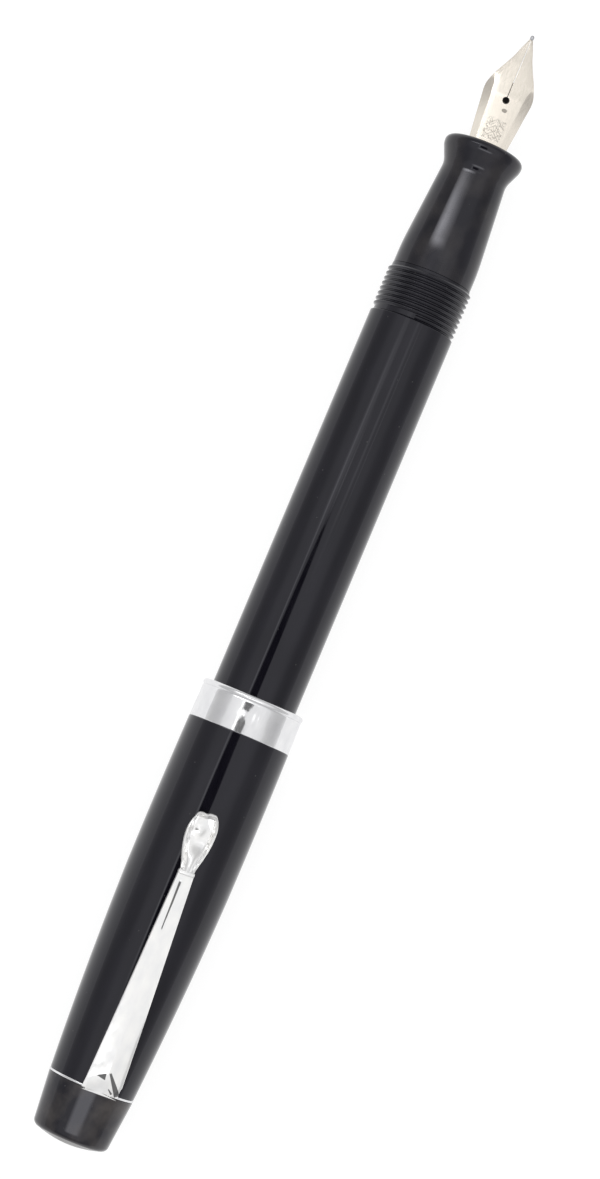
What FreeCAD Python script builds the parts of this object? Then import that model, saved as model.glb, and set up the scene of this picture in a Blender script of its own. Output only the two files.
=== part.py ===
import FreeCAD, Part
import Sketcher
import os
import re

# A black piston-filling fountain pen with its cap posted on the tail.
# Stations are millimetres along the pen's axis, counted from the cap's domed end towards the nib.
# The part's frame has +X along the axis towards the nib and +Z towards the nib's face; its origin
# lies on the axis in the middle of the bare barrel, so every piece is shifted by origin_station.

DIMENSIONS = [
    ("origin_station", 90.7, "frame origin, middle of the bare barrel"),
    ("crown_dome", 0.75, "height of the crown's domed end"),
    ("crown_dome_radius", 4.5, "crown radius at the edge of the dome"),
    ("crown_shoulder", 1.45, "end of the rounding in front of the dome"),
    ("crown_shoulder_radius", 5.25, "crown radius there"),
    ("crown_joint", 8.15, "station where the crown meets the clip ring"),
    ("crown_joint_radius", 5.9, "crown radius at the clip ring"),
    ("shank_radius", 3.6, "crown's screw shank"),
    ("shank_end", 12.2, "end of the crown's shank"),
    ("thread_pitch", 0.72, "pitch of every fine thread"),
    ("thread_depth", 0.34, "depth of every fine thread"),
    ("ring_thickness", 0.33, "clip ring"),
    ("ring_radius", 5.96, "clip ring, outside"),
    ("cap_rear_radius", 5.915, "cap tube at the clip ring"),
    ("cap_mid_station", 22.09, "cap tube, middle of its swell"),
    ("cap_mid_radius", 6.67, "cap tube, middle of its swell"),
    ("cap_belly_station", 36.8, "cap tube, start of its straight belly"),
    ("cap_belly_radius", 7.135, "cap tube, start of its straight belly"),
    ("cap_front_radius", 7.165, "cap tube, middle of its straight belly"),
    ("band_start", 58.08, "rear edge of the cap band"),
    ("band_rear_radius", 7.07, "cap band, rear edge"),
    ("band_seat_radius", 6.5, "cap tube under the band"),
    ("cap_lip", 63.33, "mouth of the cap"),
    ("lip_radius", 7.0, "cap band at the mouth"),
    ("lip_bead", 0.7, "length of the rounded bead at the mouth"),
    ("mouth_radius", 5.97, "plain bore just inside the mouth"),
    ("mouth_depth", 6.5, "length of that plain bore"),
    ("cap_thread_length", 6.0, "screw thread inside the cap"),
    ("cap_thread_radius", 5.58, "crests of the thread inside the cap"),
    ("cap_bore_radius", 5.65, "bore behind the thread"),
    ("inner_cap_radius", 5.3, "inner cap, outside"),
    ("inner_cap_bore", 4.1, "inner cap, inside"),
    ("inner_cap_end", 12.6, "closed end of the inner cap"),
    ("inner_cap_mouth", 31.2, "mouth of the inner cap"),
    ("inner_cap_wall", 0.8, "thickness of the inner cap's closed end"),
    ("barrel_radius", 5.87, "barrel outside"),
    ("tail_station", 54.4, "rear end of the barrel"),
    ("tail_radius", 5.2, "barrel radius at its rear end"),
    ("tail_neck_station", 58.0, "end of the tail's quick taper"),
    ("tail_neck_radius", 5.48, "barrel radius there"),
    ("chamber_radius", 4.2, "ink chamber"),
    ("thread_start", 117.5, "run-out groove at the rear end of the cap thread on the barrel"),
    ("vee_half", 0.33, "half the mouth of that groove and of the thread's V"),
    ("vee_floor", 0.03, "half the floor of the V"),
    ("thread_end", 123.7, "front end of the cap thread on the barrel"),
    ("barrel_front", 124.1, "front end of the barrel"),
    ("tenon_radius", 4.5, "section's tenon in the barrel"),
    ("tenon_end", 113.5, "rear end of the tenon"),
    ("ink_way_radius", 2.2, "ink passage through the tenon"),
    ("grip_rear_radius", 5.5, "section behind the grip"),
    ("grip_start", 125.6, "start of the section's taper"),
    ("grip_mid_station", 128.9, "end of the grip's rounded start"),
    ("grip_mid_radius", 5.35, "section radius there"),
    ("neck_station", 138.7, "narrowest place of the section"),
    ("neck_radius", 4.52, "section radius there"),
    ("section_lip_station", 142.2, "widest place of the section's lip"),
    ("section_lip_radius", 5.52, "radius of the section's lip"),
    ("section_front", 143.05, "front face of the section"),
    ("nib_bore_radius", 3.0, "bore that holds the nib and feed"),
    ("feed_rear", 121.5, "rear end of the feed and of its bore"),
    ("feed_radius", 2.95, "feed inside the section"),
    ("feed_tip", 154.3, "front end of the feed"),
    ("nib_heel", 128.0, "rear end of the nib"),
    ("nib_thickness", 0.34, "nib sheet"),
    ("nib_hole_station", 149.65, "breather hole"),
    ("nib_hole_radius", 0.485, "breather hole"),
    ("slit_width", 0.07, "nib slit"),
    ("nib_end", 158.7, "end of the nib's sheet, where the tipping is welded on"),
    ("nib_tip", 159.4, "end of the tipping"),
    ("tipping_radius", 0.34, "tipping bead"),
    ("knob_end", 42.6, "domed rear end of the filling knob"),
    ("knob_dome", 1.0, "height of the knob's dome"),
    ("knob_radius", 5.0, "filling knob"),
    ("knob_front", 54.2, "front face of the filling knob"),
    ("knob_groove_count", 24, "grip grooves round the knob"),
    ("spindle_rear", 45.0, "rear end of the spindle"),
    ("spindle_front", 74.4, "front end of the spindle"),
    ("spindle_radius", 3.0, "spindle outside"),
    ("spindle_bore", 2.1, "spindle inside"),
    ("spindle_plug_end", 47.6, "end of the solid rear stretch of the spindle"),
    ("collar_radius", 3.8, "spindle's thrust collar"),
    ("collar_start", 56.3, "rear face of the thrust collar"),
    ("collar_end", 57.4, "front face of the thrust collar"),
    ("running_gap", 0.08, "clearance of every running fit in the filler"),
    ("bush_front", 77.0, "front face of the guide bush"),
    ("bush_wall", 2.0, "guide bush's front wall"),
    ("nut_radius", 3.9, "retaining nut and its seat"),
    ("rod_rear", 48.0, "rear end of the piston rod"),
    ("rod_radius", 2.0, "piston rod"),
    ("rod_flat", 1.6, "half distance across the rod's two flats"),
    ("rod_lead", 6.0, "travel of the rod for one turn of the knob"),
    ("groove_start", 43.2, "station where the rod's helical groove starts"),
    ("groove_turns", 5.5, "turns of the helical groove"),
    ("groove_floor", 1.4, "radius of the groove's floor"),
    ("groove_width", 1.1, "groove width along the axis"),
    ("peg_station", 73.2, "drive peg"),
    ("peg_radius", 0.35, "drive peg"),
    ("pin_station", 46.2, "knob's cross pin"),
    ("pin_radius", 0.5, "knob's cross pin"),
    ("piston_rear", 78.2, "rear face of the piston"),
    ("piston_flange_radius", 3.9, "piston's rear flange"),
    ("seal_rear", 79.4, "rear face of the cork seal"),
    ("seal_front", 85.0, "front face of the cork seal"),
    ("seal_radius", 4.14, "cork seal"),
    ("spigot_radius", 1.2, "front end of the rod"),
    ("piston_front", 86.6, "front face of the piston nut"),
    ("clip_pivot", 8.5, "fold where the clip's arm bends"),
    ("clip_roll", 11.5, "angle of the clip round the cap, degrees"),
    ("clip_skew", 1.9, "angle of the clip's arm to the pen's axis, degrees"),
    ("clip_root_width", 5.2, "clip arm at its fold"),
    ("clip_waist_width", 1.9, "clip arm at its waist"),
    ("clip_waist", 38.9, "station of the waist"),
    ("clip_end", 47.1, "free end of the clip"),
    ("clip_lobe_width", 4.0, "widest place of the clip's tulip end"),
    ("clip_lobe_station", 44.9, "station of that place"),
    ("clip_sheet", 0.75, "thickness of the clip's arm"),
    ("clip_root_height", 6.1, "underside of the arm at its fold, from the axis"),
    ("clip_fold_height", 6.3, "axis that the clip's arm bends about, from the pen's axis"),
    ("clip_fold_radius", 0.33, "rolled fold at the arm's root"),
    ("clip_shoulder_height", 7.75, "top of the arm in front of its fold, from the axis"),
    ("clip_waist_height", 8.75, "top of the arm at its waist, from the axis"),
    ("clip_ball_radius", 0.5, "ball under the clip's end"),
    ("clip_ball_gap", 0.05, "gap between the ball and the cap"),
    ("clip_ball_setback", 0.7, "ball behind the widest place of the tulip end"),
    ("clip_edge_reach", 0.4, "from the fold back to the arm's rear edge"),
    ("clip_rise_run", 2.0, "from the fold to the shoulder of the arm"),
    ("clip_swell_run", 3.0, "from the waist to where the tulip end has swelled out"),
    ("clip_notch", 0.35, "notch between the lobes of the tulip end"),
    ("clip_corner", 0.4, "rounding of the lobes"),
    ("tulip_dip", 0.55, "how far the tulip end dips below the waist"),
    ("tulip_lift", 0.05, "how far its tip stands above the waist again"),
    ("feed_step", 0.25, "feed is thinner in front of the section by this"),
    ("feed_tip_width", 0.35, "half width of the feed at its tip"),
    ("feed_tip_height", 1.35, "underside of the feed at its tip"),
    ("feed_waist_width", 1.7, "half width of the feed halfway along its taper"),
    ("feed_pare", 1.5, "from the section to where the feed starts to taper"),
    ("channel_width", 0.6, "ink channel in the feed"),
    ("channel_floor", 0.7, "floor of the ink channel, from the axis"),
    ("fin_pitch", 0.75, "spacing of the slots between the feed's fins"),
    ("fin_slot", 0.3, "width of those slots"),
    ("fin_floor", 1.55, "floor of the rearmost slot, from the axis"),
    ("fin_floor_step", 0.25, "each next slot's floor is this much nearer the axis"),
    ("rod_side", 1.1, "half width of the flat sides of the bush's hole"),
    ("knob_groove_length", 7.5, "grip grooves round the knob"),
    ("knob_groove_half", 0.28, "half width of a groove"),
    ("knob_groove_depth", 0.22, "depth of a groove"),
    ("knob_groove_setback", 1.2, "grooves end this far from the knob's front"),
    ("reach", 20.0, "length of a cut that goes right through"),
]
NAMES = {name for name, value, note in DIMENSIONS}


# ---------------------------------------------------------------- sheet, sketches and features

def fill_sheet(doc):
    """The spreadsheet of driving dimensions, one row each."""
    sheet = doc.addObject("Spreadsheet::Sheet", "dims")
    for row, (name, value, note) in enumerate(DIMENSIONS, 1):
        sheet.set(f"A{row}", name)
        sheet.set(f"B{row}", str(value))
        sheet.set(f"C{row}", note)
        sheet.setAlias(f"B{row}", name)
    doc.recompute()
    return sheet


def bound(text):
    """An expression over the sheet's aliases, as another object has to write it."""
    return re.sub(r"[a-z_]+", lambda word: "dims." + word[0] if word[0] in NAMES else word[0], text)


def value(doc, text):
    """The number that an expression over the sheet's aliases comes to."""
    return float(doc.dims.evalExpression(text))


def place_point(doc, sketch, geometry, end, point):
    """Hold one sketch point at its two expressions, measured from the sketch's origin."""
    for axis, kind, text in ((-2, "DistanceX", point[0]), (-1, "DistanceY", point[1])):
        if text == "0":
            sketch.addConstraint(Sketcher.Constraint("PointOnObject", geometry, end, axis))
            continue
        size = value(doc, text)
        index = sketch.addConstraint(Sketcher.Constraint(kind, -1, 1, geometry, end, size))
        sketch.setExpression(f"Constraints[{index}]", bound(text))


def draw_outline(doc, sketch, outline):
    """A closed outline of straight runs; a third entry, via, makes a point the middle of an arc."""
    at = [FreeCAD.Vector(value(doc, p[0]), value(doc, p[1]), 0) for p in outline]
    corners = [i for i, p in enumerate(outline) if len(p) == 2]
    for k, start in enumerate(corners):
        end = corners[(k + 1) % len(corners)]
        if (start + 1) % len(outline) == end:
            sketch.addGeometry(Part.LineSegment(at[start], at[end]), False)
        else:
            sketch.addGeometry(Part.Arc(at[start], at[start + 1], at[end]), False)
    for k, start in enumerate(corners):
        before = (k - 1) % len(corners)
        sketch.addConstraint(Sketcher.Constraint("Coincident", before, arc_end(sketch, before, at[start]),
                                                 k, arc_end(sketch, k, at[start])))
        place_point(doc, sketch, k, arc_end(sketch, k, at[start]), outline[start])
        if (start + 1) % len(outline) not in corners:
            middle = sketch.addGeometry(Part.Point(at[start + 1]), True)
            place_point(doc, sketch, middle, 1, outline[start + 1])
            sketch.addConstraint(Sketcher.Constraint("PointOnObject", middle, 1, k))


def arc_end(sketch, geometry, point):
    """Which end of a run, 1 or 2, lies at the point: an arc may be stored the other way round."""
    gap = [(sketch.getPoint(geometry, end) - point).Length for end in (1, 2)]
    return 1 if gap[0] < gap[1] else 2


def new_body(doc, label):
    """A body whose stations are counted from the cap's domed end."""
    body = doc.addObject("PartDesign::Body", label)
    body.Label = label
    body.setExpression("Placement.Base.x", bound("-origin_station"))
    return body


def body_sketch(doc, body, plane, outline, offset=None):
    """A sketch on one of the body's origin planes."""
    sketch = body.newObject("Sketcher::SketchObject", body.Label + "_outline")
    support = next(f for f in body.Origin.OriginFeatures if f.Role == plane)
    sketch.AttachmentSupport = (support, [""])
    sketch.MapMode = "FlatFace"
    if offset:
        sketch.setExpression("AttachmentOffset.Base.z", bound(offset))
    draw_outline(doc, sketch, outline)
    return sketch


def revolve(doc, body, outline):
    """Turn an outline of (station, radius) once round the pen's axis."""
    sketch = body_sketch(doc, body, "XZ_Plane", outline)
    feature = body.newObject("PartDesign::Revolution", body.Label + "_turned")
    feature.Profile = sketch
    feature.ReferenceAxis = (sketch, ["H_Axis"])
    feature.Angle = 360
    doc.recompute()
    return feature


def turned(doc, label, outline):
    """A piece turned on a lathe."""
    body = new_body(doc, label)
    revolve(doc, body, outline)
    return body


def cut_through(doc, body, plane, outline):
    """Cut an outline through the whole body, both ways from one of its origin planes."""
    before = body.Shape.Volume
    sketch = body_sketch(doc, body, plane, outline)
    pocket = body.newObject("PartDesign::Pocket", body.Label + "_cut")
    pocket.Profile = sketch
    pocket.Type = "ThroughAll"
    pocket.Midplane = True
    doc.recompute()
    if body.Shape.Volume >= before:
        raise RuntimeError(body.Label + ": a cut removed nothing")
    return pocket


def helical_groove(doc, body, outline, pitch, turns):
    """A groove of the outline's form that winds right-handed along the pen's axis."""
    before = body.Shape.Volume
    sketch = body_sketch(doc, body, "XZ_Plane", outline)
    helix = body.newObject("PartDesign::SubtractiveHelix", body.Label + "_thread")
    helix.Profile = sketch
    helix.ReferenceAxis = (sketch, ["H_Axis"])
    helix.Mode = "pitch-turns-angle"
    for size, text in (("Pitch", pitch), ("Turns", turns)):
        setattr(helix, size, value(doc, text))
        helix.setExpression(size, bound(text))
    doc.recompute()
    if body.Shape.Volume >= before:
        raise RuntimeError(body.Label + ": its thread removed nothing")


def vee(start, crest, depth):
    """The V of a fine thread: its mouth just past the crest, its root at the thread's depth."""
    over = f"({crest} - ({depth}) * 0.15)"
    root = f"({crest} + {depth})"
    return [(f"{start} - vee_half", over), (f"{start} - vee_floor", root),
            (f"{start} + vee_floor", root), (f"{start} + vee_half", over)]


def polar_copies(doc, body, feature, count):
    """Repeat a feature round the pen's axis."""
    pattern = body.newObject("PartDesign::PolarPattern", body.Label + "_pattern")
    pattern.Originals = [feature]
    axis = next(f for f in body.Origin.OriginFeatures if f.Role == "X_Axis")
    pattern.Axis = (axis, [""])
    pattern.Angle = 360
    pattern.setExpression("Occurrences", bound(count))
    body.Tip = pattern
    doc.recompute()


# ---------------------------------------------------------------- the cap

def crown(doc):
    """Domed cap end with the screw shank that holds the clip ring."""
    body = turned(doc, "crown", [
        ("0", "0"), ("crown_dome * 0.25", "crown_dome_radius * 0.5", "via"),
        ("crown_dome", "crown_dome_radius"),
        ("(crown_dome * 2 + crown_shoulder) / 3",
         "(crown_dome_radius + crown_shoulder_radius * 2) / 3", "via"),
        ("crown_shoulder", "crown_shoulder_radius"), ("crown_joint", "crown_joint_radius"),
        ("crown_joint", "shank_radius"), ("shank_end", "shank_radius"), ("shank_end", "0")])
    helical_groove(doc, body, vee("crown_joint + ring_thickness + 0.6", "shank_radius", "-thread_depth"),
                   "thread_pitch", "5")
    return body


def clip_ring(doc):
    """Chrome washer clamped between the crown and the cap tube."""
    front = "crown_joint + ring_thickness"
    return turned(doc, "clip_ring", [
        ("crown_joint", "shank_radius"), ("crown_joint", "ring_radius"),
        (front, "ring_radius"), (front, "shank_radius")])


def cap_tube(doc):
    """Cigar-shaped shell: crown hole, inner cap seat, bore, screw thread and plain mouth."""
    rear = "crown_joint + ring_thickness"
    thread_front = "cap_lip - mouth_depth"
    thread_rear = "cap_lip - mouth_depth - cap_thread_length"
    tube_end = "cap_lip - lip_bead"
    body = turned(doc, "cap_tube", [
        (rear, "cap_rear_radius"), ("cap_mid_station", "cap_mid_radius", "via"),
        ("cap_belly_station", "cap_belly_radius"),
        ("(cap_belly_station + band_start) / 2", "cap_front_radius", "via"),
        ("band_start", "band_rear_radius"), ("band_start", "band_seat_radius"),
        (tube_end, "band_seat_radius"), (tube_end, "mouth_radius"),
        (thread_front, "mouth_radius"), (thread_front, "cap_thread_radius"),
        (thread_rear, "cap_thread_radius"), (thread_rear, "cap_bore_radius"),
        ("inner_cap_mouth", "cap_bore_radius"), ("inner_cap_mouth", "inner_cap_radius"),
        ("inner_cap_end", "inner_cap_radius"), ("inner_cap_end", "shank_radius"),
        (rear, "shank_radius")])
    helical_groove(doc, body, vee(thread_rear + " + 0.6", "cap_thread_radius", "thread_depth"),
                   "thread_pitch", "6.8")
    return body


def cap_band(doc):
    """Chrome band that sleeves the cap's mouth and is turned in over its end."""
    bead = "cap_lip - lip_bead"
    return turned(doc, "cap_band", [
        ("band_start", "band_seat_radius"), ("band_start", "band_rear_radius"),
        (bead, "lip_radius + 0.01"), ("cap_lip - lip_bead * 0.3", "lip_radius - 0.03", "via"),
        ("cap_lip", "lip_radius - 0.35"), ("cap_lip", "mouth_radius + 0.05"),
        (bead, "mouth_radius + 0.05"), (bead, "band_seat_radius")])


def inner_cap(doc):
    """Pressed-in cup that closes on the section's lip and keeps the nib from drying."""
    floor = "inner_cap_end + inner_cap_wall"
    return turned(doc, "inner_cap", [
        ("inner_cap_end", "0"), ("inner_cap_end", "inner_cap_radius"),
        ("inner_cap_mouth", "inner_cap_radius"), ("inner_cap_mouth", "inner_cap_bore + 0.3"),
        ("inner_cap_mouth - 0.5", "inner_cap_bore"), (floor, "inner_cap_bore"), (floor, "0")])


def extruded(doc, name, plane, outline):
    """An outline padded both ways from one of its body's origin planes."""
    body = doc.addObject("PartDesign::Body", name)
    sketch = body_sketch(doc, body, plane, outline)
    pad = body.newObject("PartDesign::Pad", name + "_pad")
    pad.Profile = sketch
    pad.Midplane = True
    pad.setExpression("Length", bound("2 * reach"))
    doc.recompute()
    return body


def clip_arm(doc):
    """Tapered sprung arm with a waist and a tulip end that carries the ball.
    It is drawn along +X above the axis, then rolled and skewed round the cap."""
    waist = "clip_waist_width / 2"
    lobe = "clip_lobe_width / 2"
    plan = extruded(doc, "clip_plan", "XY_Plane", [
        ("clip_pivot - clip_edge_reach", "-clip_root_width / 2"), ("clip_waist", f"-{waist}"),
        ("clip_waist + clip_swell_run", "-clip_lobe_width * 0.4", "via"),
        ("clip_lobe_station", f"-{lobe}"), ("clip_end - clip_corner", "-clip_lobe_width * 0.42", "via"),
        ("clip_end", "-clip_lobe_width * 0.2"),
        ("clip_end - clip_notch", "0"), ("clip_end", "clip_lobe_width * 0.2"),
        ("clip_end - clip_corner", "clip_lobe_width * 0.42", "via"), ("clip_lobe_station", lobe),
        ("clip_waist + clip_swell_run", "clip_lobe_width * 0.4", "via"), ("clip_waist", waist),
        ("clip_pivot - clip_edge_reach", "clip_root_width / 2")])
    side = extruded(doc, "clip_side", "XZ_Plane", [
        ("clip_pivot - clip_edge_reach", "clip_root_height"),
        ("clip_pivot - clip_edge_reach", "clip_root_height + 0.5"),
        ("clip_pivot + clip_rise_run", "clip_shoulder_height"),
        ("clip_waist", "clip_waist_height"),
        ("clip_lobe_station - 1", "clip_waist_height - tulip_dip", "via"),
        ("clip_end", "clip_waist_height + tulip_lift"),
        ("clip_end", "clip_waist_height + tulip_lift - clip_sheet"),
        ("clip_lobe_station - 1", "clip_waist_height - tulip_dip - clip_sheet", "via"),
        ("clip_waist", "clip_waist_height - clip_sheet"),
        ("clip_pivot + clip_rise_run + 0.4", "clip_shoulder_height - clip_sheet"),
        ("clip_pivot + 0.5", "clip_root_height")])
    blade = doc.addObject("Part::Common", "clip_blade")
    blade.Base = plan
    blade.Tool = side
    ball = doc.addObject("Part::Sphere", "clip_ball")
    ball.setExpression("Radius", bound("clip_ball_radius"))
    ball.setExpression("Placement.Base.x", bound("clip_lobe_station - clip_ball_setback"))
    ball.setExpression("Placement.Base.z", bound("cap_front_radius + clip_ball_gap + clip_ball_radius"))
    fold = cylinder(doc, "clip_fold", "clip_fold_radius", "clip_root_width",
                    ("clip_pivot", "clip_root_width / 2", "clip_fold_height"),
                    FreeCAD.Rotation(FreeCAD.Vector(1, 0, 0), 90))
    arm = doc.addObject("Part::MultiFuse", "clip_arm")
    arm.Label = "clip_arm"
    arm.Shapes = [blade, ball, fold]
    skew = FreeCAD.Rotation(FreeCAD.Vector(0, 0, 1), value(doc, "clip_skew"))
    roll = FreeCAD.Rotation(FreeCAD.Vector(1, 0, 0), value(doc, "clip_roll"))
    pivot = FreeCAD.Vector(value(doc, "clip_pivot"), 0, 0)
    shift = FreeCAD.Vector(value(doc, "-origin_station"), 0, 0)
    arm.Placement = FreeCAD.Placement(shift + pivot - (roll * skew).multVec(pivot), roll * skew)
    doc.recompute()
    return arm


# ---------------------------------------------------------------- barrel, section, nib and feed

def barrel(doc):
    """Straight barrel with the ink chamber, the tail that takes the cap and the cap thread."""
    body = turned(doc, "barrel", [
        ("tail_station", "tail_radius"), ("tail_neck_station", "tail_neck_radius"),
        ("(tail_neck_station + cap_lip) / 2", "barrel_radius - 0.1", "via"),
        ("cap_lip", "barrel_radius"), ("thread_start - vee_half", "barrel_radius"),
        ("thread_start - vee_floor", "barrel_radius - thread_depth"),
        ("thread_start + vee_floor", "barrel_radius - thread_depth"),
        ("thread_start + vee_half", "barrel_radius"), ("thread_end", "barrel_radius"),
        ("barrel_front", "barrel_radius - thread_depth"), ("barrel_front", "tenon_radius"),
        ("tenon_end", "tenon_radius"), ("tenon_end", "chamber_radius"),
        ("tail_station", "chamber_radius")])
    helical_groove(doc, body, vee("thread_start", "barrel_radius", "-thread_depth"), "thread_pitch",
                   "(barrel_front - thread_start) / thread_pitch + 0.4")
    return body


def section(doc):
    """Tapered grip with a flared lip, screwed into the barrel by its tenon."""
    lip = "section_lip_station"
    return turned(doc, "section", [
        ("tenon_end", "ink_way_radius"), ("tenon_end", "tenon_radius"),
        ("barrel_front", "tenon_radius"), ("barrel_front", "grip_rear_radius"),
        ("grip_start", "grip_rear_radius"),
        ("(grip_start + grip_mid_station) / 2", "grip_mid_radius + 0.11", "via"),
        ("grip_mid_station", "grip_mid_radius"), ("neck_station", "neck_radius"),
        ("neck_station + 0.75", "neck_radius + 0.08", "via"),
        ("neck_station + 1.45", "neck_radius + 0.33"), (f"{lip} - 0.95", "section_lip_radius - 0.22"),
        (f"{lip} - 0.45", "section_lip_radius - 0.05", "via"),
        (f"{lip}", "section_lip_radius"), (f"{lip} + 0.6", "section_lip_radius - 0.22", "via"),
        ("section_front", "section_lip_radius - 0.75"), ("section_front", "nib_bore_radius"),
        ("feed_rear", "nib_bore_radius"), ("feed_rear", "ink_way_radius")])


# Across the nib: station, half width, half width of its flat crown, height of the crown, height of
# the edge.
NIB_SECTIONS = [
    ("nib_heel", 2.60, 1.72, 2.40, 1.20),
    ("section_front", 2.60, 1.72, 2.40, 1.20),
    ("nib_hole_station + 0.5", 3.42, 2.15, 2.28, 1.25),
    ("nib_hole_station + 1.9", 3.21, 2.26, 2.18, 1.45),
    ("nib_hole_station + 3.6", 2.56, 2.30, 2.02, 1.84),
    ("nib_tip - 4.7", 1.70, 1.60, 1.86, 1.80),
    ("nib_tip - 2.5", 0.92, 0.86, 1.66, 1.62),
    ("nib_end", 0.30, 0.26, 1.42, 1.40),
]


def across(doc, name, station, outline):
    """A closed outline across the pen at one station."""
    sketch = doc.addObject("Sketcher::SketchObject", name)
    sketch.Placement.Rotation = FreeCAD.Rotation(FreeCAD.Vector(1, 1, 1), 120)
    sketch.setExpression("Placement.Base.x", bound(f"{station} - origin_station"))
    draw_outline(doc, sketch, outline)
    return sketch


def lofted(doc, name, sketches):
    """A solid with flat facets from one cross-section to the next."""
    loft = doc.addObject("Part::Loft", name)
    loft.Sections = sketches
    loft.Solid = True
    loft.Ruled = True
    doc.recompute()
    return loft


def nib_outline(half, flat, crown_height, edge_height, drop, top):
    """Facetted strip from top to drop below it; heights are plain numbers, drops are expressions."""
    under = [(f"{-half}", f"{edge_height} - ({drop})"), (f"{-flat}", f"{crown_height} - ({drop})"),
             (f"{flat}", f"{crown_height} - ({drop})"), (f"{half}", f"{edge_height} - ({drop})")]
    over = [(f"{half}", f"{edge_height} + {top}"), (f"{flat}", f"{crown_height} + {top}"),
            (f"{-flat}", f"{crown_height} + {top}"), (f"{-half}", f"{edge_height} + {top}")]
    return under + over


def nib_loft(doc, name, drop, top):
    """The nib's form, or with a high top the space that the feed keeps clear of it."""
    sketches = [across(doc, f"{name}_across_{i}", place, nib_outline(half, flat, crest, edge, drop, top))
                for i, (place, half, flat, crest, edge) in enumerate(NIB_SECTIONS)]
    return lofted(doc, name, sketches)


def cylinder(doc, name, radius, length, place, turn):
    """A plain round tool whose axis is turned by a rotation from +Z."""
    tool = doc.addObject("Part::Cylinder", name)
    tool.setExpression("Radius", bound(radius))
    tool.setExpression("Height", bound(length))
    tool.Placement.Rotation = turn
    for axis, text in zip("xyz", place):
        tool.setExpression(f"Placement.Base.{axis}", bound(text))
    return tool


def cut(doc, name, base, tool):
    """Base less tool."""
    result = doc.addObject("Part::Cut", name)
    result.Label = name
    result.Base = base
    result.Tool = tool
    doc.recompute()
    return result


def nib(doc):
    """Facetted nib with its breather hole and slit."""
    blank = nib_loft(doc, "nib_blank", "nib_thickness", "0.0")
    hole = cylinder(doc, "nib_hole", "nib_hole_radius", "reach",
                    ("nib_hole_station - origin_station", "0", "0"), FreeCAD.Rotation())
    slit = doc.addObject("Part::Box", "nib_slit")
    slit.setExpression("Length", bound("nib_tip - nib_hole_station + 1"))
    slit.setExpression("Width", bound("slit_width"))
    slit.setExpression("Height", bound("reach"))
    slit.setExpression("Placement.Base.x", bound("nib_hole_station - origin_station"))
    slit.setExpression("Placement.Base.y", bound("-slit_width / 2"))
    return cut(doc, "nib", cut(doc, "nib_pierced", blank, hole), slit)


def nib_tipping(doc):
    """Hard writing bead welded to the nib's end, split by the slit's last stretch."""
    body = turned(doc, "nib_tipping", [
        ("nib_end", "0"), ("nib_end", "tipping_radius * 0.75"), ("nib_end + 0.15", "tipping_radius"),
        ("nib_tip - 0.25", "tipping_radius"), ("nib_tip", "tipping_radius * 0.45"), ("nib_tip", "0")])
    body.Placement.Base.z = NIB_SECTIONS[-1][3] - value(doc, "nib_thickness") / 2
    return body


FIN_SLOTS = 6


def feed(doc):
    """Ebonite feed: round in the section, pared to a wedge under the nib, with an ink channel and
    fins."""
    body = turned(doc, "feed_blank", [
        ("feed_rear", "0"), ("feed_rear", "feed_radius"), ("section_front + 0.4", "feed_radius"),
        ("section_front + 0.8", "feed_radius - feed_step"), ("feed_tip", "feed_radius - feed_step"),
        ("feed_tip", "0")])
    cut_through(doc, body, "XZ_Plane", [
        ("section_front + 1", "-reach"), ("section_front + 1", "-feed_radius"),
        ("feed_tip - 3", "0.2", "via"), ("feed_tip", "feed_tip_height"),
        ("feed_tip + 1", "feed_tip_height"), ("feed_tip + 1", "-reach")])
    for side in (-1, 1):
        cut_through(doc, body, "XY_Plane", [
            ("section_front + feed_pare", f"{side} * feed_radius"),
            ("feed_tip - 2.6", f"{side} * feed_waist_width", "via"),
            ("feed_tip", f"{side} * feed_tip_width"), ("feed_tip + 1", f"{side} * feed_tip_width"),
            ("feed_tip + 1", f"{side} * reach"), ("section_front + feed_pare", f"{side} * reach")])
    for step in range(FIN_SLOTS):
        start = f"section_front + feed_pare + {step} * fin_pitch"
        end = start + " + fin_slot"
        floor = f"{step} * fin_floor_step - fin_floor"
        cut_through(doc, body, "XZ_Plane", [(start, "-reach"), (start, floor), (end, floor),
                                            (end, "-reach")])
    seat = nib_loft(doc, "nib_seat", "nib_thickness + 0.02", "reach")
    channel = doc.addObject("Part::Box", "feed_channel")
    channel.setExpression("Length", bound("feed_tip - feed_rear"))
    channel.setExpression("Width", bound("channel_width"))
    channel.setExpression("Height", bound("reach"))
    channel.setExpression("Placement.Base.x", bound("feed_rear - origin_station"))
    channel.setExpression("Placement.Base.y", bound("-channel_width / 2"))
    channel.setExpression("Placement.Base.z", bound("channel_floor"))
    return cut(doc, "feed", cut(doc, "feed_seated", body, seat), channel)


# ---------------------------------------------------------------- the piston filler

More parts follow.
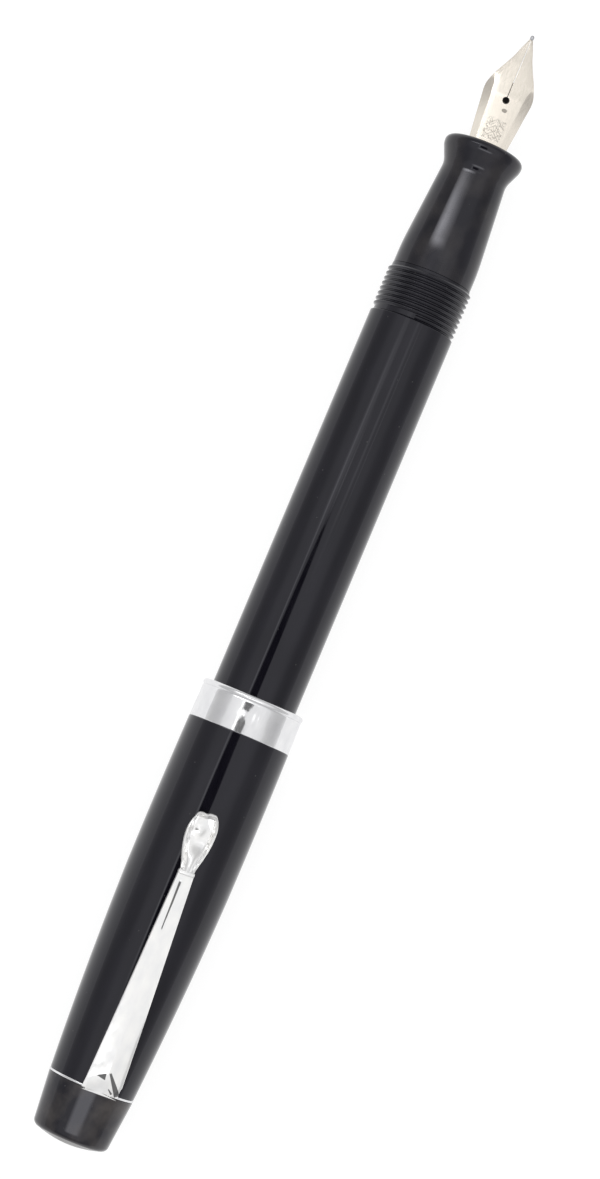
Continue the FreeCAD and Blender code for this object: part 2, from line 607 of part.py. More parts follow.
def guide_bush(doc):
    """Bush in the barrel's tail: it carries the spindle, and its flat-sided hole keeps the rod from
    turning."""
    rear = "tail_station + 0.1"
    inside = "bush_front - bush_wall"
    body = turned(doc, "guide_bush", [
        (rear, "nut_radius"), (rear, "chamber_radius"), ("bush_front", "chamber_radius"),
        ("bush_front", "0"), (inside, "0"), (inside, "spindle_radius + running_gap"),
        ("collar_end + running_gap", "spindle_radius + running_gap"),
        ("collar_end + running_gap", "nut_radius")])
    hole = body_sketch(doc, body, "YZ_Plane", [
        ("rod_flat + running_gap", "-rod_side"), ("0", "-(rod_radius + running_gap)", "via"),
        ("-(rod_flat + running_gap)", "-rod_side"), ("-(rod_flat + running_gap)", "rod_side"),
        ("0", "rod_radius + running_gap", "via"), ("rod_flat + running_gap", "rod_side")],
        "bush_front - bush_wall / 2")
    pocket = body.newObject("PartDesign::Pocket", "guide_bush_hole")
    pocket.Profile = hole
    pocket.Midplane = True
    pocket.setExpression("Length", bound("bush_wall * 2"))
    doc.recompute()
    return body


def retaining_nut(doc):
    """Ring screwed into the bush behind the spindle's collar."""
    rear = "tail_station + 0.1"
    front = "collar_start - running_gap"
    return turned(doc, "retaining_nut", [
        (rear, "spindle_radius + running_gap"), (rear, "nut_radius"),
        (front, "nut_radius"), (front, "spindle_radius + running_gap")])


def spindle(doc):
    """Tube that the knob turns, with a thrust collar; the rod slides inside it."""
    body = turned(doc, "spindle", [
        ("spindle_rear", "0"), ("spindle_rear", "spindle_radius"), ("collar_start", "spindle_radius"),
        ("collar_start", "collar_radius"), ("collar_end", "collar_radius"),
        ("collar_end", "spindle_radius"), ("spindle_front", "spindle_radius"),
        ("spindle_front", "spindle_bore"), ("spindle_plug_end", "spindle_bore"),
        ("spindle_plug_end", "0")])
    cross_hole(doc, body, "XY_Plane", "peg_station", "peg_radius", "0", "reach")
    cross_hole(doc, body, "XY_Plane", "pin_station", "pin_radius", "-reach", "reach")
    return body


def cross_hole(doc, body, plane, station, radius, low, high):
    """A round hole across the axis, from one height to the other along the sketch plane's normal."""
    sketch = body.newObject("Sketcher::SketchObject", body.Label + "_hole")
    support = next(f for f in body.Origin.OriginFeatures if f.Role == plane)
    sketch.AttachmentSupport = (support, [""])
    sketch.MapMode = "FlatFace"
    sketch.setExpression("AttachmentOffset.Base.z", bound(high))
    centre = FreeCAD.Vector(value(doc, station), 0, 0)
    sketch.addGeometry(Part.Circle(centre, FreeCAD.Vector(0, 0, 1), value(doc, radius)), False)
    place_point(doc, sketch, 0, 3, (station, "0"))
    index = sketch.addConstraint(Sketcher.Constraint("Radius", 0, value(doc, radius)))
    sketch.setExpression(f"Constraints[{index}]", bound(radius))
    pocket = body.newObject("PartDesign::Pocket", body.Label + "_drilled")
    pocket.Profile = sketch
    pocket.setExpression("Length", bound(f"{high} - ({low})"))
    doc.recompute()


def knob(doc):
    """Domed filling knob with a knurled stretch, pinned to the spindle."""
    body = turned(doc, "knob", [
        ("knob_end", "0"), ("knob_end + knob_dome * 0.3", "knob_radius * 0.55", "via"),
        ("knob_end + knob_dome", "knob_radius - 0.15"), ("knob_front - 0.2", "knob_radius"),
        ("knob_front", "knob_radius - 0.2"), ("knob_front", "spindle_radius"),
        ("spindle_rear", "spindle_radius"), ("spindle_rear", "0")])
    cross_hole(doc, body, "XY_Plane", "pin_station", "pin_radius", "-reach", "reach")
    groove = cut_groove(doc, body)
    polar_copies(doc, body, groove, "knob_groove_count")
    return body


def cut_groove(doc, body):
    """One grip groove along the knob, cut from outside."""
    sketch = body_sketch(doc, body, "YZ_Plane", [
        ("-knob_groove_half", "knob_radius + 0.3"), ("0", "knob_radius - knob_groove_depth", "via"),
        ("knob_groove_half", "knob_radius + 0.3")], "knob_front - knob_groove_setback")
    pocket = body.newObject("PartDesign::Pocket", "knob_groove")
    pocket.Profile = sketch
    pocket.setExpression("Length", bound("knob_groove_length"))
    doc.recompute()
    return pocket


def round_pin(doc, label, radius, station, low, high):
    """A plain pin across the axis, along +Z."""
    pin = cylinder(doc, label, radius, f"{high} - ({low})", (f"{station} - origin_station", "0", low),
                   FreeCAD.Rotation())
    pin.Label = label
    return pin


def knob_pin(doc):
    """Pin that fixes the knob on its spindle."""
    return round_pin(doc, "knob_pin", "pin_radius", "pin_station",
                     "-(knob_radius - 0.5)", "knob_radius - 0.5")


def drive_peg(doc):
    """Peg in the spindle's wall that rides in the rod's groove."""
    return round_pin(doc, "drive_peg", "peg_radius", "peg_station",
                     "groove_floor + 0.07", "spindle_radius - 0.02")


def piston_rod(doc):
    """Rod with a steep helical groove for the peg and two flats for the guide bush."""
    body = turned(doc, "piston_rod", [
        ("rod_rear", "0"), ("rod_rear", "rod_radius"), ("piston_rear", "rod_radius"),
        ("piston_rear", "spigot_radius"), ("piston_front - 0.3", "spigot_radius"),
        ("piston_front - 0.3", "0")])
    for side in (-1, 1):
        cut_through(doc, body, "XY_Plane", [
            ("rod_rear - 1", f"{side} * rod_flat"), ("piston_rear - 0.4", f"{side} * rod_flat"),
            ("piston_rear - 0.4", f"{side} * reach"), ("rod_rear - 1", f"{side} * reach")])
    helical_groove(doc, body, [
        ("groove_start - groove_width / 2", "groove_floor"),
        ("groove_start + groove_width / 2", "groove_floor"),
        ("groove_start + groove_width / 2", "rod_radius + 0.3"),
        ("groove_start - groove_width / 2", "rod_radius + 0.3")], "rod_lead", "groove_turns")
    return body


def piston_core(doc):
    """Flange behind the cork."""
    return turned(doc, "piston_core", [
        ("piston_rear", "spigot_radius"), ("piston_rear", "piston_flange_radius"),
        ("seal_rear", "piston_flange_radius"), ("seal_rear", "spigot_radius")])


def piston_seal(doc):
    """Cork that wipes the ink chamber."""
    middle = "(seal_rear + seal_front) / 2"
    return turned(doc, "piston_seal", [
        ("seal_rear", "spigot_radius"), ("seal_rear", "seal_radius - 0.06"),
        (middle, "seal_radius", "via"), ("seal_front", "seal_radius - 0.06"),
        ("seal_front", "spigot_radius")])


def piston_nut(doc):
    """Domed nut on the rod's front end that squeezes the cork."""
    return turned(doc, "piston_nut", [
        ("seal_front", "spigot_radius"), ("seal_front", "piston_flange_radius - 0.4"),
        ("piston_front - 0.6", "piston_flange_radius - 0.7"), ("piston_front", "spigot_radius + 0.8"),
        ("piston_front", "spigot_radius")])


# ---------------------------------------------------------------- build, check and write

BUILDERS = [crown, clip_ring, cap_tube, cap_band, inner_cap, clip_arm, barrel, section, nib, nib_tipping,
            feed, guide_bush, retaining_nut, spindle, knob, knob_pin, drive_peg, piston_rod, piston_core,
            piston_seal, piston_nut]


def check(doc, pieces):
    """Stop on any failed object or any piece without one sound solid."""
    failed = [o.Label for o in doc.Objects if "Invalid" in o.State or "Error" in o.State]
    if failed:
        raise RuntimeError("failed objects: " + ", ".join(failed))
    for piece in pieces:
        if piece.Shape.isNull() or not piece.Shape.isValid() or not piece.Shape.Solids:
            raise RuntimeError(piece.Label + ": no valid solid")


def main():
    os.makedirs("parts", exist_ok=True)
    doc = FreeCAD.newDocument("fountain_pen")
    fill_sheet(doc)
    pieces = [build(doc) for build in BUILDERS]
    doc.recompute()
    check(doc, pieces)
    for piece in pieces:
        piece.Shape.exportStep(f"parts/{piece.Label}.step")
        box = piece.Shape.BoundBox
        print(f"{piece.Label:14s} {piece.Shape.Volume:9.2f} mm3, {len(piece.Shape.Solids)} solid,"
              f" x {box.XMin:7.2f} to {box.XMax:7.2f}, z {box.ZMin:6.2f} to {box.ZMax:6.2f}")


main()
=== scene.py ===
import bpy
import math
from mathutils import Matrix, Vector


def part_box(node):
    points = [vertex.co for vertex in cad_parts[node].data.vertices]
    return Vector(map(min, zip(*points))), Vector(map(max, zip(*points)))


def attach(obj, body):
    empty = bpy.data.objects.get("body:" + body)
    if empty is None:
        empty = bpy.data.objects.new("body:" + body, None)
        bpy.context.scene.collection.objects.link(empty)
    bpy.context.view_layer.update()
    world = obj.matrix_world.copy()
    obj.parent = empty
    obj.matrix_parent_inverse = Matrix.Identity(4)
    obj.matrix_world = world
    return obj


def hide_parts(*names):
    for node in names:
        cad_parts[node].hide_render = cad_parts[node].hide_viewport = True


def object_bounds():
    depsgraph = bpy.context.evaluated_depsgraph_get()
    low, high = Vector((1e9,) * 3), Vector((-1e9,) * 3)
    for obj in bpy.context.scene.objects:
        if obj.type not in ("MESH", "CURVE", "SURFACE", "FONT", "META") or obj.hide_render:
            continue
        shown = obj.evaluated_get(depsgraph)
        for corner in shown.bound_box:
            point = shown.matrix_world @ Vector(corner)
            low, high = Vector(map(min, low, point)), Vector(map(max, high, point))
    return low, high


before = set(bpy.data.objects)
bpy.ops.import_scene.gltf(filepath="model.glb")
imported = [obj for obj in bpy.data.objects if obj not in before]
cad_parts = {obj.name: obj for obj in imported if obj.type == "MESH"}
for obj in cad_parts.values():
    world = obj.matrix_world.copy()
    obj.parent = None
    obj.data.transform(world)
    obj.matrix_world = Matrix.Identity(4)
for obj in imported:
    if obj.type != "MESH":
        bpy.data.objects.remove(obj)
cad_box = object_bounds()

# A black fountain pen with its cap posted. The pen lies along X with its nib towards +X and the
# nib's face and the clip up. Every length is written in millimetres and turned to metres by mm().


def mm(length):
    """Millimetres as Blender's metres."""
    return length * 0.001


def span(node):
    """First and last station of a CAD node along the pen, in millimetres."""
    low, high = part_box(node)
    return low.x * 1000, high.x * 1000


def radius(node):
    """Largest radius of a turned CAD node, in millimetres."""
    low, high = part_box(node)
    return (high.y - low.y) * 500


# ------------------------------------------------------------------ modelling helpers

SEGMENTS = 160          # points round each turned piece
PITCH = 0.72            # cap thread, millimetres a turn
BARREL_RADIUS = 5.87
CLIP_SKEW = 1.9         # degrees the clip points off the pen's axis
CLIP_ROLL = 11.5        # degrees the clip is turned round the cap


def select_only(piece):
    """Make one object the only selected one."""
    bpy.ops.object.select_all(action="DESELECT")
    piece.select_set(True)
    bpy.context.view_layer.objects.active = piece


def apply_modifier(piece, kind, **settings):
    """Add a modifier, set it and apply it."""
    select_only(piece)
    modifier = piece.modifiers.new(kind.title(), kind)
    for name, setting in settings.items():
        setattr(modifier, name, setting)
    bpy.ops.object.modifier_apply(modifier=modifier.name)


def weld(piece):
    """Merge doubled points and turn every face outwards."""
    select_only(piece)
    bpy.ops.object.mode_set(mode="EDIT")
    bpy.ops.mesh.select_all(action="SELECT")
    bpy.ops.mesh.remove_doubles(threshold=1e-7)
    bpy.ops.mesh.normals_make_consistent(inside=False)
    bpy.ops.object.mode_set(mode="OBJECT")


def smooth(piece, degrees=32):
    """Shade smooth except across edges sharper than the angle."""
    select_only(piece)
    bpy.ops.object.shade_smooth_by_angle(angle=math.radians(degrees))


def soften(piece, width, segments=3, degrees=28):
    """Round the sharp edges by a small width in millimetres."""
    apply_modifier(piece, "BEVEL", width=mm(width), segments=segments, limit_method="ANGLE",
                   angle_limit=math.radians(degrees), harden_normals=False)


def arc(start, middle, end, steps):
    """Points of the circular arc through three (station, radius) points, without the first."""
    (ax, ay), (bx, by), (cx, cy) = start, middle, end
    d = 2 * (ax * (by - cy) + bx * (cy - ay) + cx * (ay - by))
    a2, b2, c2 = ax ** 2 + ay ** 2, bx ** 2 + by ** 2, cx ** 2 + cy ** 2
    ux = (a2 * (by - cy) + b2 * (cy - ay) + c2 * (ay - by)) / d
    uy = (a2 * (cx - bx) + b2 * (ax - cx) + c2 * (bx - ax)) / d
    size = math.hypot(ax - ux, ay - uy)
    first, mid, last = (math.atan2(y - uy, x - ux) for x, y in (start, middle, end))
    turn = (last - first) % math.tau
    if (mid - first) % math.tau > turn:
        turn -= math.tau
    angles = [first + turn * i / steps for i in range(1, steps + 1)]
    return [(ux + size * math.cos(angle), uy + size * math.sin(angle)) for angle in angles]


def run(start, end, steps):
    """Evenly spaced points of a straight run, without the first."""
    return [(start[0] + (end[0] - start[0]) * i / steps, start[1] + (end[1] - start[1]) * i / steps)
            for i in range(1, steps + 1)]


def extend(outline, *parts):
    """Lengthen an outline by arcs (middle, end, steps) and runs (end, steps)."""
    for part in parts:
        if len(part) == 3:
            outline += arc(outline[-1], part[0], part[1], part[2])
        else:
            outline += run(outline[-1], part[0], part[1])
    return outline


def chain(name, points):
    """A run of points in millimetres, drawn out one after the other from a single point."""
    bpy.ops.object.select_all(action="DESELECT")
    bpy.ops.mesh.primitive_plane_add(size=mm(1), location=(0, 0, 0))
    piece = bpy.context.object
    piece.name = piece.data.name = name
    bpy.ops.object.mode_set(mode="EDIT")
    bpy.ops.mesh.select_all(action="SELECT")
    bpy.ops.mesh.merge(type="CENTER")
    bpy.ops.transform.translate(value=[mm(c) for c in points[0]])
    for start, end in zip(points, points[1:]):
        step = [mm(b - a) for a, b in zip(start, end)]
        bpy.ops.mesh.extrude_region_move(TRANSFORM_OT_translate={"value": step})
    bpy.ops.object.mode_set(mode="OBJECT")
    return piece


def close_chain(piece):
    """Join the last point of a chain to its first."""
    select_only(piece)
    ends = (0, len(piece.data.vertices) - 1)
    bpy.ops.object.mode_set(mode="EDIT")
    bpy.ops.mesh.select_mode(type="VERT")
    bpy.ops.mesh.select_all(action="DESELECT")
    bpy.ops.object.mode_set(mode="OBJECT")
    for end in ends:
        piece.data.vertices[end].select = True
    bpy.ops.object.mode_set(mode="EDIT")
    bpy.ops.mesh.edge_face_add()
    bpy.ops.object.mode_set(mode="OBJECT")


def join(name, pieces):
    """Several objects made one."""
    bpy.ops.object.select_all(action="DESELECT")
    for piece in pieces:
        piece.select_set(True)
    bpy.context.view_layer.objects.active = pieces[0]
    bpy.ops.object.join()
    whole = bpy.context.object
    whole.name = whole.data.name = name
    return whole


def loft(name, rows, closed=False):
    """A skin over rows of points; closed rows are rings whose two end rings are filled."""
    whole = None
    count = len(rows[0])
    for row in rows:
        made = chain(name, row)
        if closed:
            close_chain(made)
        if whole is None:
            whole = made
            continue
        whole = join(name, [whole, made])
        total = len(whole.data.vertices)
        bpy.ops.object.mode_set(mode="EDIT")
        bpy.ops.mesh.select_all(action="DESELECT")
        bpy.ops.object.mode_set(mode="OBJECT")
        for vertex in whole.data.vertices[total - 2 * count:]:
            vertex.select = True
        bpy.ops.object.mode_set(mode="EDIT")
        bpy.ops.mesh.bridge_edge_loops()
        bpy.ops.object.mode_set(mode="OBJECT")
    if closed:
        fill_open_edges(whole)
    weld(whole)
    return whole


def fill_open_edges(piece):
    """Cap every open ring with one face."""
    select_only(piece)
    bpy.ops.object.mode_set(mode="EDIT")
    bpy.ops.mesh.select_mode(type="EDGE")
    bpy.ops.mesh.select_all(action="DESELECT")
    bpy.ops.mesh.select_non_manifold(extend=False)
    bpy.ops.mesh.fill_holes(sides=0)
    bpy.ops.mesh.select_mode(type="VERT")
    bpy.ops.object.mode_set(mode="OBJECT")


def stretch(piece, factors, middle=(0, 0, 0)):
    """Scale a whole mesh about a point given in millimetres."""
    select_only(piece)
    bpy.ops.object.mode_set(mode="EDIT")
    bpy.ops.mesh.select_all(action="SELECT")
    bpy.ops.transform.resize(value=factors, center_override=[mm(c) for c in middle])
    bpy.ops.object.mode_set(mode="OBJECT")


def swing(piece, degrees, axis, middle):
    """Turn a whole mesh about an axis through a point given in millimetres, right-handed."""
    select_only(piece)
    bpy.ops.object.mode_set(mode="EDIT")
    bpy.ops.mesh.select_all(action="SELECT")
    bpy.ops.transform.rotate(value=-math.radians(degrees), orient_axis=axis, orient_type="GLOBAL",
                             center_override=[mm(c) for c in middle])
    bpy.ops.object.mode_set(mode="OBJECT")


def blend(low, high, at):
    """Smooth step of a value between two ends."""
    t = min(max((at - low) / (high - low), 0.0), 1.0)
    return t * t * (3 - 2 * t)


def along_table(table, at):
    """Read a value off a table of (position, value) stations by straight runs between them."""
    for (x0, v0), (x1, v1) in zip(table, table[1:]):
        if at <= x1:
            return v0 + (v1 - v0) * max(at - x0, 0) / (x1 - x0)
    return table[-1][1]


def ring(name, station, size):
    """A circle of points stood across the pen's axis."""
    bpy.ops.object.select_all(action="DESELECT")
    bpy.ops.mesh.primitive_circle_add(vertices=SEGMENTS, radius=mm(size), fill_type="NOTHING",
                                      location=(mm(station), 0, 0), rotation=(0, math.pi / 2, 0))
    piece = bpy.context.object
    piece.name = piece.data.name = name
    bpy.ops.object.transform_apply(location=True, rotation=True, scale=True)
    return piece


def lathe(name, outline, closed=False):
    """A turned piece: a ring drawn out along an outline of (station, radius) points.
    An end at radius 0 is drawn to a point; a closed outline comes back to its first ring."""
    tiny = 1e-3
    points = [(x, max(r, tiny)) for x, r in outline]
    piece = ring(name, *points[0])
    bpy.ops.object.mode_set(mode="EDIT")
    bpy.ops.mesh.select_all(action="SELECT")
    for (x0, r0), (x1, r1) in zip(points, points[1:]):
        bpy.ops.mesh.extrude_edges_move(TRANSFORM_OT_translate={"value": (mm(x1 - x0), 0, 0)})
        bpy.ops.transform.resize(value=(1, r1 / r0, r1 / r0), center_override=(mm(x1), 0, 0))
    bpy.ops.object.mode_set(mode="OBJECT")
    close_points(piece, tiny)
    if closed or outline[0][1] == 0 or outline[-1][1] == 0:
        weld(piece)
    return piece


def close_points(piece, tiny):
    """Merge each tiny end ring to one point on the axis."""
    select_only(piece)
    bpy.ops.object.mode_set(mode="EDIT")
    bpy.ops.mesh.select_mode(type="VERT")
    bpy.ops.mesh.select_all(action="DESELECT")
    bpy.ops.object.mode_set(mode="OBJECT")
    for vertex in piece.data.vertices:
        vertex.select = math.hypot(vertex.co.y, vertex.co.z) < mm(tiny) * 1.5
    bpy.ops.object.mode_set(mode="EDIT")
    bpy.ops.mesh.remove_doubles(threshold=mm(tiny) * 3)
    bpy.ops.object.mode_set(mode="OBJECT")


def finish_piece(piece, material, body, slot, *nodes):
    """Give a piece its material, the body it rides on and the CAD nodes it stands for; slot is not used."""
    piece.data.materials.clear()
    piece.data.materials.append(material)
    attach(piece, body)
    if nodes:
        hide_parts(*nodes)
    return piece


# ------------------------------------------------------------------ material helpers

def linear(colour):
    """An sRGB hex colour as linear RGBA."""
    channels = [int(colour[i:i + 2], 16) / 255 for i in (1, 3, 5)]
    return [c / 12.92 if c <= 0.04045 else ((c + 0.055) / 1.055) ** 2.4 for c in channels] + [1.0]


def new_material(name, **sockets):
    """A material whose shader's own sockets are set; returns it with its tree and shader."""
    material = bpy.data.materials.new(name)
    material.use_nodes = True
    tree = material.node_tree
    shader = tree.nodes["Principled BSDF"]
    for socket, setting in sockets.items():
        shader.inputs[socket.replace("_", " ")].default_value = setting
    return material, tree, shader


def node(tree, kind, links=(), **settings):
    """Add a node, set its properties and inputs, and link (input, output) pairs."""
    made = tree.nodes.new(kind)
    for name, setting in settings.items():
        if hasattr(made, name):
            setattr(made, name, setting)
        else:
            made.inputs[name.replace("_", " ")].default_value = setting
    for socket, output in links:
        tree.links.new(output, made.inputs[socket])
    return made


def place(tree, scale=(1, 1, 1), turn=(0, 0, 0)):
    """Object coordinates in millimetres, stretched and turned."""
    coordinates = node(tree, "ShaderNodeTexCoord")
    mapping = node(tree, "ShaderNodeMapping", [("Vector", coordinates.outputs["Object"])],
                   Rotation=turn)
    mapping.inputs["Scale"].default_value = [s * 1000 for s in scale]
    return mapping.outputs["Vector"]


def ramp(tree, source, stops):
    """A colour ramp through (position, hex colour) stops."""
    made = node(tree, "ShaderNodeValToRGB", [("Fac", source)])
    elements = made.color_ramp.elements
    while len(elements) < len(stops):
        elements.new(0.5)
    for element, (position, colour) in zip(elements, stops):
        element.position = position
        element.color = linear(colour)
    return made.outputs["Color"]


def levels(tree, source, low, high, to_low, to_high):
    """Remap a value from one range to another, held at its ends."""
    made = node(tree, "ShaderNodeMapRange", [("Value", source)])
    ends = {"From Min": low, "From Max": high, "To Min": to_low, "To Max": to_high}
    for name, setting in ends.items():
        made.inputs[name].default_value = setting
    return made.outputs["Result"]


def maths(tree, operation, first, second):
    """One arithmetic step between outputs or plain numbers."""
    made = node(tree, "ShaderNodeMath", operation=operation)
    for socket, source in zip(made.inputs, (first, second)):
        if isinstance(source, (int, float)):
            socket.default_value = source
        else:
            tree.links.new(source, socket)
    return made.outputs["Value"]


def times(tree, first, second):
    """Product of two outputs or numbers."""
    return maths(tree, "MULTIPLY", first, second)


def plus(tree, first, second):
    """Sum of two outputs or numbers."""
    return maths(tree, "ADD", first, second)


def less(tree, first, second):
    """The first output or number less the second."""
    return maths(tree, "SUBTRACT", first, second)


def noise(tree, scale, turn=(0, 0, 0), detail=2.0):
    """Noise from 0 to 1, with about scale cells to the millimetre along each axis."""
    made = node(tree, "ShaderNodeTexNoise", [("Vector", place(tree, scale, turn))], Scale=1.0,
                Detail=detail)
    return made.outputs["Fac"]


def bump(tree, shader, height, depth):
    """Lead a height in millimetres to the shader's normal."""
    made = node(tree, "ShaderNodeBump", [("Height", height)], Distance=mm(depth), Strength=1.0)
    tree.links.new(made.outputs["Normal"], shader.inputs["Normal"])
    return made


# ------------------------------------------------------------------ materials

def black_hard_rubber(name="Polished hard rubber", wear_and_dome_highlight=0.0):
    """Polished vulcanised rubber: near-black with a cool cast and a deep shine, fine handling
    hairlines along the pen and a few pale specks; the wear setting gives it brown, duller rubbed areas
    and a painted highlight that makes the crown's dome end lighter and browner."""
    material, tree, shader = new_material(name, Roughness=0.06, IOR=1.45)
    shader.inputs["Specular Tint"].default_value = (0.93, 0.93, 1.0, 1.0)
    hairlines = noise(tree, (0.05, 5.0, 5.0), detail=3.0)
    ripple = noise(tree, (0.06, 0.8, 0.8), detail=1.0)
    dust = node(tree, "ShaderNodeTexVoronoi", [("Vector", place(tree, (0.5, 0.5, 0.5)))], Scale=1.0)
    specks = levels(tree, dust.outputs["Distance"], 0.02, 0.06, 1.0, 0.0)
    clouds = noise(tree, (0.12, 0.5, 0.5), detail=4.0)
    rubbed = noise(tree, (0.22, 0.25, 0.25), turn=(0, 0, 0.4), detail=3.0)
    patches_and_dome_highlight = levels(tree, rubbed, 0.4, 0.68, 0.0, wear_and_dome_highlight)
    # painted highlight: the crown's dome end painted lighter, browner and rougher, strongest at its tip and
    # gone 1.3 mm back
    ahead = node(tree, "ShaderNodeSeparateXYZ", [("Vector", place(tree))]).outputs["X"]
    dome = less(tree, ahead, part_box("crown")[0].x * 1000)
    patches_and_dome_highlight = maths(tree, "MAXIMUM", patches_and_dome_highlight, levels(tree, dome, 0.1, 1.3, 1.6 * wear_and_dome_highlight, 0.0))
    fresh = ramp(tree, clouds, [(0.35, "#0c0b12"), (0.65, "#14131a")])
    brown = blend_colours(tree, patches_and_dome_highlight, fresh, "#55504c")
    dusty = blend_colours(tree, times(tree, specks, 0.35), brown, "#6f6e6c")
    tree.links.new(dusty, shader.inputs["Base Color"])
    rough = levels(tree, clouds, 0.3, 0.7, 0.03, 0.09)
    tree.links.new(plus(tree, rough, times(tree, patches_and_dome_highlight, 0.3)), shader.inputs["Roughness"])
    height = plus(tree, times(tree, hairlines, 0.12), times(tree, ripple, 1.0))
    bump(tree, shader, less(tree, height, specks), 0.003)
    return material


def blend_colours(tree, factor, under, over):
    """Lay one flat colour over another by a factor."""
    mixed = node(tree, "ShaderNodeMix", data_type="RGBA")
    tree.links.new(factor, mixed.inputs["Factor"])
    tree.links.new(under, mixed.inputs[6])
    mixed.inputs[7].default_value = linear(over)
    return mixed.outputs[2]


def ebonite():
    """Turned ebonite, not polished: dull brown-black with fine tool rings."""
    material, tree, shader = new_material("Turned ebonite", Roughness=0.5, IOR=1.5)
    rings = noise(tree, (8, 0.4, 0.4))
    tree.links.new(ramp(tree, rings, [(0.3, "#17130f"), (0.7, "#26201b")]),
                   shader.inputs["Base Color"])
    tree.links.new(levels(tree, rings, 0.3, 0.7, 0.4, 0.6), shader.inputs["Roughness"])
    bump(tree, shader, rings, 0.01)
    return material


def haze(tree, shader, rough, share):
    """Lay a second, wider highlight over a metal, as handling haze does."""
    veil = node(tree, "ShaderNodeBsdfAnisotropic", Roughness=rough)
    colour = shader.inputs["Base Color"]
    if colour.is_linked:
        tree.links.new(colour.links[0].from_socket, veil.inputs["Color"])
    mixed = node(tree, "ShaderNodeMixShader", Fac=share)
    tree.links.new(shader.outputs["BSDF"], mixed.inputs[1])
    tree.links.new(veil.outputs["BSDF"], mixed.inputs[2])
    tree.links.new(mixed.outputs["Shader"], tree.nodes["Material Output"].inputs["Surface"])


def chrome_plate(name, tones, share, painted_shade=None):
    """Bright chrome plate over pressed brass: a mirror with polishing ripple, crossing hairlines, a
    handling haze, and, where given, painted shade: dark reflections and shade painted into its colour."""
    material, tree, shader = new_material(name, Metallic=1.0, Roughness=0.06)
    ripple = noise(tree, (0.4, 0.8, 0.8))
    hairlines = noise(tree, (1.5, 6.0, 6.0), turn=(0, 0, 0.7), detail=4.0)
    colour = ramp(tree, ripple, [(0.3, tones[0]), (0.7, tones[1])])
    height = plus(tree, ripple, times(tree, hairlines, 0.08))
    if painted_shade:
        # painted shade: dark reflections and shade painted into the colour, and lowered in the bump, where
        # the mask is
        dull = painted_shade(tree)
        colour = blend_colours(tree, times(tree, dull, 0.85), colour, "#2b2b2c")
        height = less(tree, height, dull)
    tree.links.new(colour, shader.inputs["Base Color"])
    tree.links.new(levels(tree, hairlines, 0.35, 0.7, 0.04, 0.12), shader.inputs["Roughness"])
    bump(tree, shader, height, 0.02)
    haze(tree, shader, 0.55, share)
    return material


def stroke(tree, x, y, start, end, widths):
    """1 along a straight tapering stroke between two points in millimetres, 0 away from it."""
    run_x, run_y = end[0] - start[0], end[1] - start[1]
    length = math.hypot(run_x, run_y)
    dx, dy = less(tree, x, start[0]), less(tree, y, start[1])
    ahead = plus(tree, times(tree, dx, run_x / length ** 2), times(tree, dy, run_y / length ** 2))
    away = less(tree, times(tree, dx, run_y / length), times(tree, dy, run_x / length))
    away = maths(tree, "ABSOLUTE", away, 0)
    reach = levels(tree, ahead, 0.0, 1.0, widths[0], widths[1])
    inside = levels(tree, less(tree, reach, away), -0.03, 0.03, 0.0, 1.0)
    ends = times(tree, levels(tree, ahead, -0.03, 0.01, 0.0, 1.0),
                 levels(tree, ahead, 0.99, 1.03, 1.0, 0.0))
    return times(tree, inside, ends)


def clip_painted_shade(tree):
    """Painted shade: dark reflections painted on the folds of the clip's hipped root and a thin dark line
    painted near its waist.
    """
    rolled = place(tree, (1, 1, 1), (math.radians(-CLIP_ROLL), 0, 0))
    parts = node(tree, "ShaderNodeSeparateXYZ", [("Vector", rolled)])
    x = less(tree, parts.outputs["X"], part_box("clip_arm")[0].x * 1000)
    y = less(tree, parts.outputs["Y"], times(tree, x, math.tan(math.radians(CLIP_SKEW))))
    # painted dark strokes: three on the root's folds, one thin line near the waist
    strokes = (((0.6, -2.3), (3.1, -0.3), (0.4, 0.15)), ((2.5, 0.15), (2.3, 1.3), (0.46, 0.02)),
               ((0.6, -1.5), (1.1, -0.85), (0.14, 0.06)), ((22.9, 0.4), (29.4, 0.36), (0.07, 0.16)))
    total = None
    for start, finish, widths in strokes:
        mark = stroke(tree, x, y, start, finish, widths)
        total = mark if total is None else maths(tree, "MAXIMUM", total, mark)
    return total


def nib_engraving_and_slit_shade(tree):
    """Plain chevrons cut across the nib's base, a small stamped oval behind its hole and a painted shade
    line along the slit.
    """
    parts = node(tree, "ShaderNodeSeparateXYZ", [("Vector", place(tree))])
    x = less(tree, parts.outputs["X"], span("section")[1])
    y = maths(tree, "ABSOLUTE", parts.outputs["Y"], 0)
    chevrons = maths(tree, "SINE", times(tree, plus(tree, x, times(tree, y, 0.9)), 7.0), 0)
    scroll = noise(tree, (1.6, 1.6, 1.6))
    veins = maths(tree, "ABSOLUTE", less(tree, scroll, 0.5), 0)
    cut = maths(tree, "MAXIMUM", levels(tree, chevrons, 0.8, 0.96, 0.0, 0.7),
                levels(tree, veins, 0.01, 0.03, 1.0, 0.0))
    field = times(tree, levels(tree, x, 0.8, 1.0, 0.0, 1.0),
                  levels(tree, x, 3.6, 3.9, 1.0, 0.0))
    field = times(tree, field, levels(tree, y, 1.2, 1.35, 1.0, 0.0))
    across = maths(tree, "DIVIDE", less(tree, parts.outputs["Y"], -0.35), 0.4)
    ahead = maths(tree, "DIVIDE", less(tree, x, 5.25), 0.28)
    reach = plus(tree, times(tree, across, across), times(tree, ahead, ahead))
    stamp = levels(tree, reach, 0.7, 1.1, 1.5, 0.0)
    # painted shade: a dark line painted along the slit, from the breather hole to near the point
    slit = times(tree, levels(tree, y, 0.04, 0.1, 1.1, 0.0),
                 levels(tree, x, 6.6, 7.0, 0.0, 1.0))
    slit = times(tree, slit, levels(tree, x, 14.6, 15.6, 1.0, 0.0))
    return maths(tree, "MAXIMUM", times(tree, cut, field), maths(tree, "MAXIMUM", stamp, slit))


